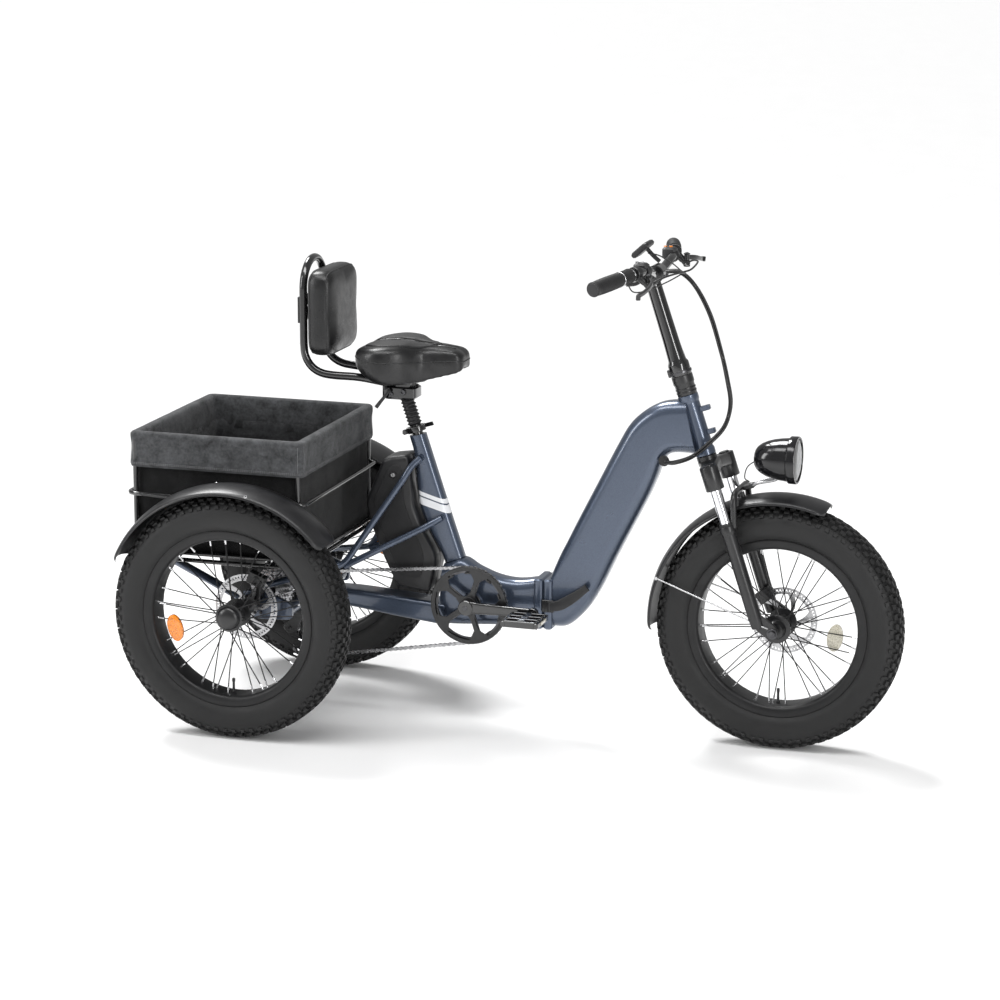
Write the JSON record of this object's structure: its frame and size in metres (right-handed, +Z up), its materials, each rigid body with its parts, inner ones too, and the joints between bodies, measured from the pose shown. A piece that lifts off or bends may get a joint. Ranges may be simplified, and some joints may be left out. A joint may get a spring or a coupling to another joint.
{
  "type": "adult tricycle",
  "caption": "Electric folding adult tricycle with fat tyres, slanted step-through frame, spring fork, padded seat with backrest and a fabric-lined rear basket.",
  "frame": {"origin": "on the ground, midway along the length and on the centre plane", "axes": "+X forwards along the length, +Y to the rider's left, +Z up"},
  "size_m": [1.8486, 0.7634, 1.1922],
  "materials": {
    "slate_paint": "metallic satin",
    "black_paint": "satin",
    "gloss_black": "gloss",
    "black_plastic": "satin",
    "hard_black": "satin",
    "hard_black_gloss": "gloss",
    "tyre": "matte",
    "rubber": "matte",
    "steel": "brushed",
    "chrome": "polished",
    "black_rim": "satin",
    "vinyl": "matte",
    "canvas": "woven",
    "glass": "clear"
  },
  "bodies": {
    "rear_frame": {"seat_tube": "slate_paint", "frame_beam": "slate_paint", "stays_right": "slate_paint", "stays_left": "slate_paint", "axle_carrier": "black_paint", "basket_frame": "black_paint", "basket_liner": "canvas", "fender_rear_right": "black_plastic", "fender_rear_left": "black_plastic", "motor_housing": "black_paint", "brake_caliper_rear": "black_paint", "derailleur_body": "black_plastic", "derailleur_cage": "black_plastic", "chain": "steel", "battery_pack": "hard_black", "seat_clamp": "gloss_black"},
    "cassette": {"cassette": "steel"},
    "wheel_rear_right": {"hub_rear_right": "black_rim", "rim_rear_right": "black_rim", "tyre_rear_right": "tyre", "brake_disc_rear": "steel"},
    "wheel_rear_left": {"hub_rear_left": "black_rim", "rim_rear_left": "black_rim", "tyre_rear_left": "tyre"},
    "crankset": {"chainring": "black_rim", "crank_right": "black_paint", "crank_left": "black_paint"},
    "pedal_right": {"pedal_right": "black_plastic"},
    "pedal_left": {"pedal_left": "black_plastic"},
    "seat_clamp_lever": {"seat_clamp_lever": "black_paint"},
    "seat": {"seatpost": "gloss_black", "saddle": "vinyl", "backrest_frame": "gloss_black", "backrest_cushion": "vinyl"},
    "saddle_lever": {"saddle_lever": "black_paint"},
    "front_frame": {"main_tube": "slate_paint"},
    "fold_latch": {"fold_latch": "black_paint"},
    "steering": {"fork_crown": "black_paint", "stanchion_right": "chrome", "stanchion_left": "chrome"},
    "fork_lowers": {"fork_lowers": "black_paint", "fender_front": "black_plastic", "headlight_housing": "hard_black_gloss", "headlight_lens": "glass", "brake_caliper_front": "black_paint"},
    "wheel_front": {"hub_front": "black_rim", "brake_disc_front": "steel", "rim_front": "black_rim", "tyre_front": "tyre"},
    "handlepost": {"handlepost": "gloss_black", "handlebar": "black_paint", "grip_right": "rubber", "grip_left": "rubber", "display": "hard_black_gloss", "cable_loom": "rubber"},
    "handlepost_latch": {"handlepost_latch": "black_paint"},
    "throttle": {"throttle": "rubber"},
    "brake_lever_right": {"brake_lever_right": "black_paint"},
    "brake_lever_left": {"brake_lever_left": "black_paint"},
    "shift_lever": {"shift_lever": "hard_black"}
  },
  "joints": [
    {"name": "frame_fold", "type": "hinge", "parent": "rear_frame", "child": "front_frame", "pos_m": [0.05842, 0.05, 0.31], "axis": [0, 0, -1], "range_deg": [-120, 0]},
    {"name": "fold_latch_turn", "type": "hinge", "parent": "front_frame", "child": "fold_latch", "pos_m": [0.07762, -0.05, 0.306], "axis": [0, 0, -1], "range_deg": [0, 90]},
    {"name": "steer", "type": "hinge", "parent": "front_frame", "child": "steering", "pos_m": [0.42012, 0, 0.764], "axis": [0.3173, 0, -0.9483], "range_deg": [-45, 45]},
    {"name": "handlepost_fold", "type": "hinge", "parent": "steering", "child": "handlepost", "pos_m": [0.35514, 0, 0.87154], "axis": [0, -1, 0], "range_deg": [0, 100], "deforming": ["cable_loom"]},
    {"name": "handlepost_latch_turn", "type": "hinge", "parent": "handlepost", "child": "handlepost_latch", "pos_m": [0.38171, 0.03, 0.8914], "axis": [-0.9483, 0, -0.3173], "range_deg": [0, 80]},
    {"name": "fork_travel", "type": "slide", "parent": "steering", "child": "fork_lowers", "axis": [-0.3173, 0, 0.9483], "range_m": [0, 0.04], "stiffness_N_per_m": 10000, "springref_m": -0.03},
    {"name": "front_wheel_spin", "type": "hinge", "parent": "fork_lowers", "child": "wheel_front", "pos_m": [0.62932, 0, 0.295], "axis": [0, 1, 0], "continuous": true},
    {"name": "rear_right_wheel_spin", "type": "hinge", "parent": "rear_frame", "child": "wheel_rear_right", "pos_m": [-0.62838, 0, 0.295], "axis": [0, 1, 0], "continuous": true},
    {"name": "rear_left_wheel_spin", "type": "hinge", "parent": "rear_frame", "child": "wheel_rear_left", "pos_m": [-0.62838, 0, 0.295], "axis": [0, 1, 0], "continuous": true},
    {"name": "crank_spin", "type": "hinge", "parent": "rear_frame", "child": "crankset", "pos_m": [-0.12038, 0, 0.297], "axis": [0, 1, 0], "continuous": true},
    {"name": "cassette_spin", "type": "hinge", "parent": "rear_frame", "child": "cassette", "pos_m": [-0.62838, 0, 0.295], "axis": [0, 1, 0], "continuous": true},
    {"name": "pedal_right_spin", "type": "hinge", "parent": "crankset", "child": "pedal_right", "pos_m": [0.04962, -0.105, 0.299], "axis": [0, 1, 0], "continuous": true},
    {"name": "pedal_left_spin", "type": "hinge", "parent": "crankset", "child": "pedal_left", "pos_m": [-0.29038, 0.105, 0.295], "axis": [0, 1, 0], "continuous": true},
    {"name": "seat_height", "type": "slide", "parent": "rear_frame", "child": "seat", "axis": [-0.309, 0, 0.9511], "range_m": [0, 0.1]},
    {"name": "seat_clamp_lever_turn", "type": "hinge", "parent": "rear_frame", "child": "seat_clamp_lever", "pos_m": [-0.30007, 0.02, 0.70007], "axis": [-0.309, 0, 0.9511], "range_deg": [0, 80]},
    {"name": "saddle_lever_turn", "type": "hinge", "parent": "seat", "child": "saddle_lever", "pos_m": [-0.33238, -0.033, 0.804], "axis": [0, 1, 0], "range_deg": [0, 25], "stiffness_Nm_per_rad": 1, "springref_deg": -17.19},
    {"name": "throttle_turn", "type": "hinge", "parent": "handlepost", "child": "throttle", "pos_m": [0.30862, -0.2, 1.141], "axis": [-0.2665, -0.9617, -0.0643], "range_deg": [0, 70], "stiffness_Nm_per_rad": 0.2, "springref_deg": -17.19},
    {"name": "brake_lever_right_pull", "type": "hinge", "parent": "handlepost", "child": "brake_lever_right", "pos_m": [0.34562, -0.174, 1.13], "axis": [0, 0, -1], "range_deg": [0, 15], "stiffness_Nm_per_rad": 1.5, "springref_deg": -22.92},
    {"name": "brake_lever_left_pull", "type": "hinge", "parent": "handlepost", "child": "brake_lever_left", "pos_m": [0.34562, 0.174, 1.13], "axis": [0, 0, 1], "range_deg": [0, 15], "stiffness_Nm_per_rad": 1.5, "springref_deg": -22.92},
    {"name": "shift_lever_push", "type": "hinge", "parent": "handlepost", "child": "shift_lever", "pos_m": [0.31562, -0.133, 1.1205], "axis": [0, 0, 1], "range_deg": [-8, 12], "stiffness_Nm_per_rad": 0.6}
  ],
  "couplings": [
    {"joint": "cassette_spin", "follows": "crank_spin", "ratio": 2.3}
  ]
}
